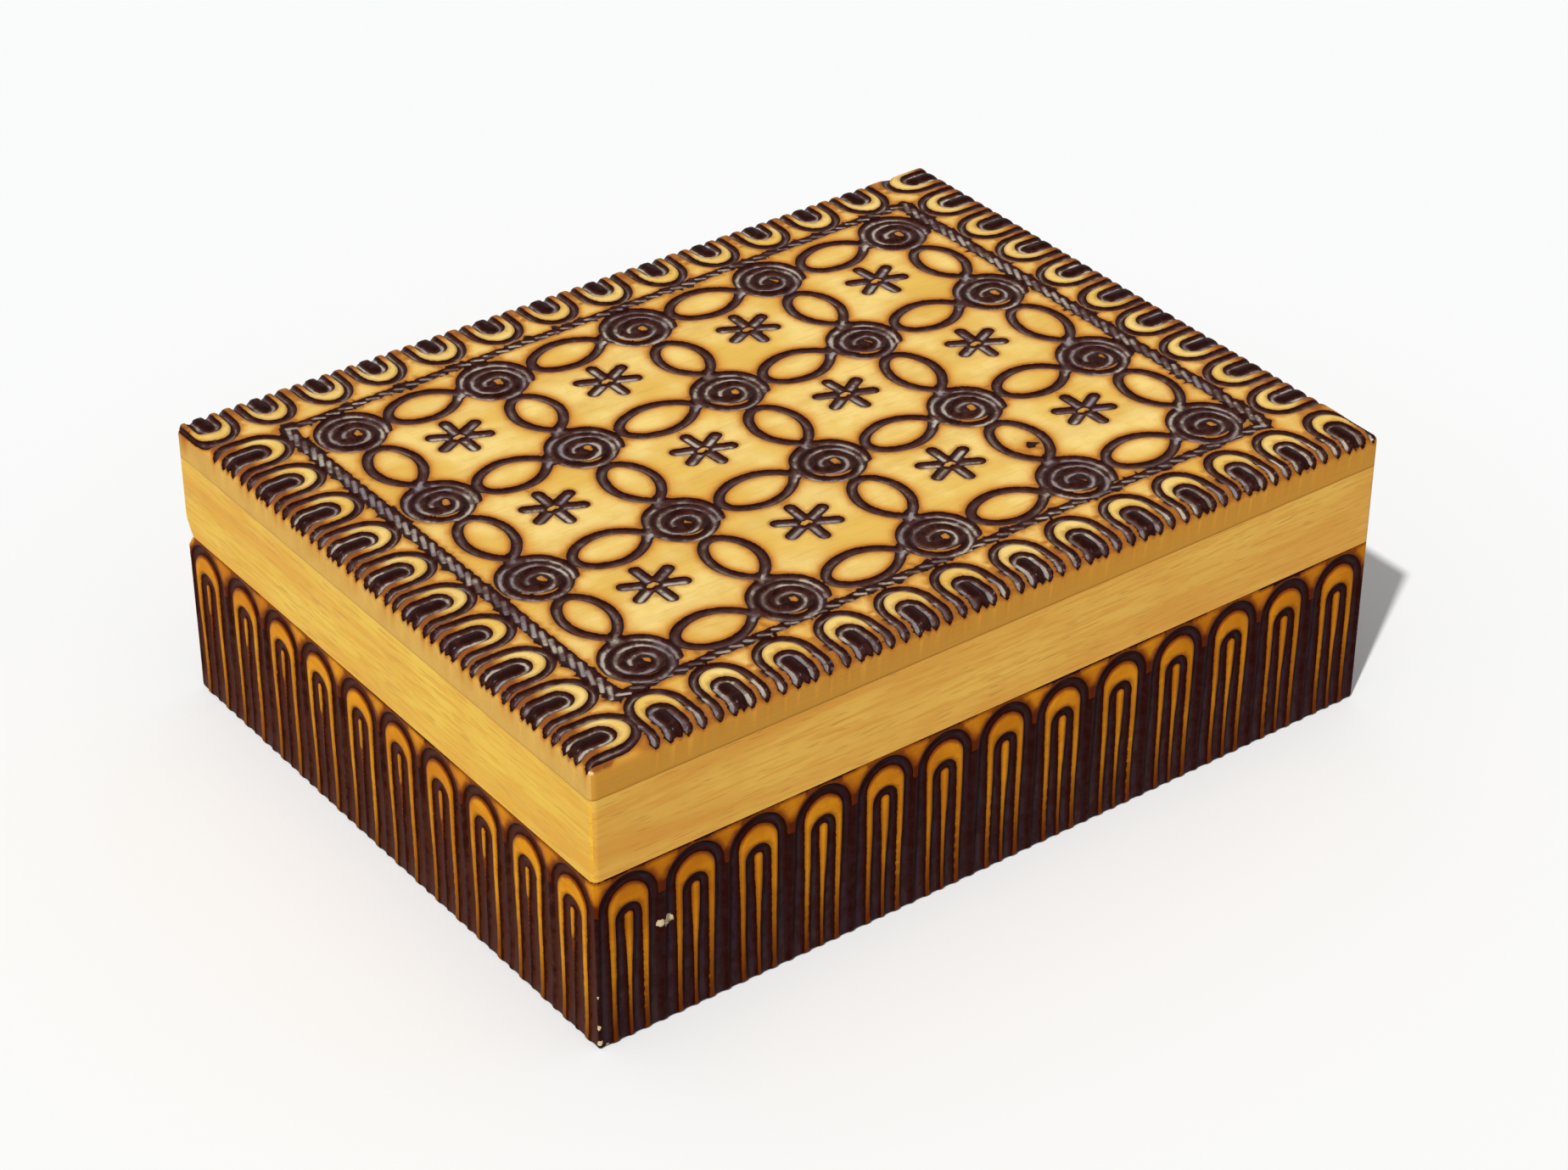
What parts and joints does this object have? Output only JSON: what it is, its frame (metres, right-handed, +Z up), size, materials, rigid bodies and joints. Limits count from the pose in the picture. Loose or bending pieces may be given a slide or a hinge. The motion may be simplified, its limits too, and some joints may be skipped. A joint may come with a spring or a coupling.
{
  "type": "hinged wooden box",
  "caption": "Rectangular wooden box with a hinged lid, burned double arches round the base and a burned lattice of spirals, rings and stars on the lid.",
  "frame": {"origin": "centre of the bottom face, on the surface that the box stands on", "axes": "+X along the long side, to the right seen from the front; +Y towards the hinged back; +Z up"},
  "size_m": [0.165, 0.127, 0.056],
  "materials": {
    "burned_wood": "lacquered, burned grooves on an amber ground",
    "carved_top_wood": "lacquered, burned grooves on a pale ground",
    "plain_wood": "clear lacquer, satin",
    "plywood": "bare, matt",
    "hinge_brass": "satin, slightly dulled",
    "pin_steel": "satin"
  },
  "bodies": {
    "base": {"base_front_wall": "burned_wood", "base_back_wall": "burned_wood", "base_left_wall": "burned_wood", "base_right_wall": "burned_wood", "base_bottom_panel": "plywood", "hinge_left_base_leaf": "hinge_brass", "hinge_left_pin": "pin_steel", "hinge_right_base_leaf": "hinge_brass", "hinge_right_pin": "pin_steel", "base_hinge_nails": "hinge_brass"},
    "lid": {"lid_front_wall": "plain_wood", "lid_back_wall": "plain_wood", "lid_left_wall": "plain_wood", "lid_right_wall": "plain_wood", "lid_top_panel": "carved_top_wood", "hinge_left_lid_leaf": "hinge_brass", "hinge_right_lid_leaf": "hinge_brass", "lid_hinge_nails": "hinge_brass"}
  },
  "joints": [
    {"name": "lid_hinge", "type": "hinge", "parent": "base", "child": "lid", "pos_m": [0, 0.0607, 0.0335], "axis": [-1, 0, 0], "range_deg": [0, 105]}
  ]
}
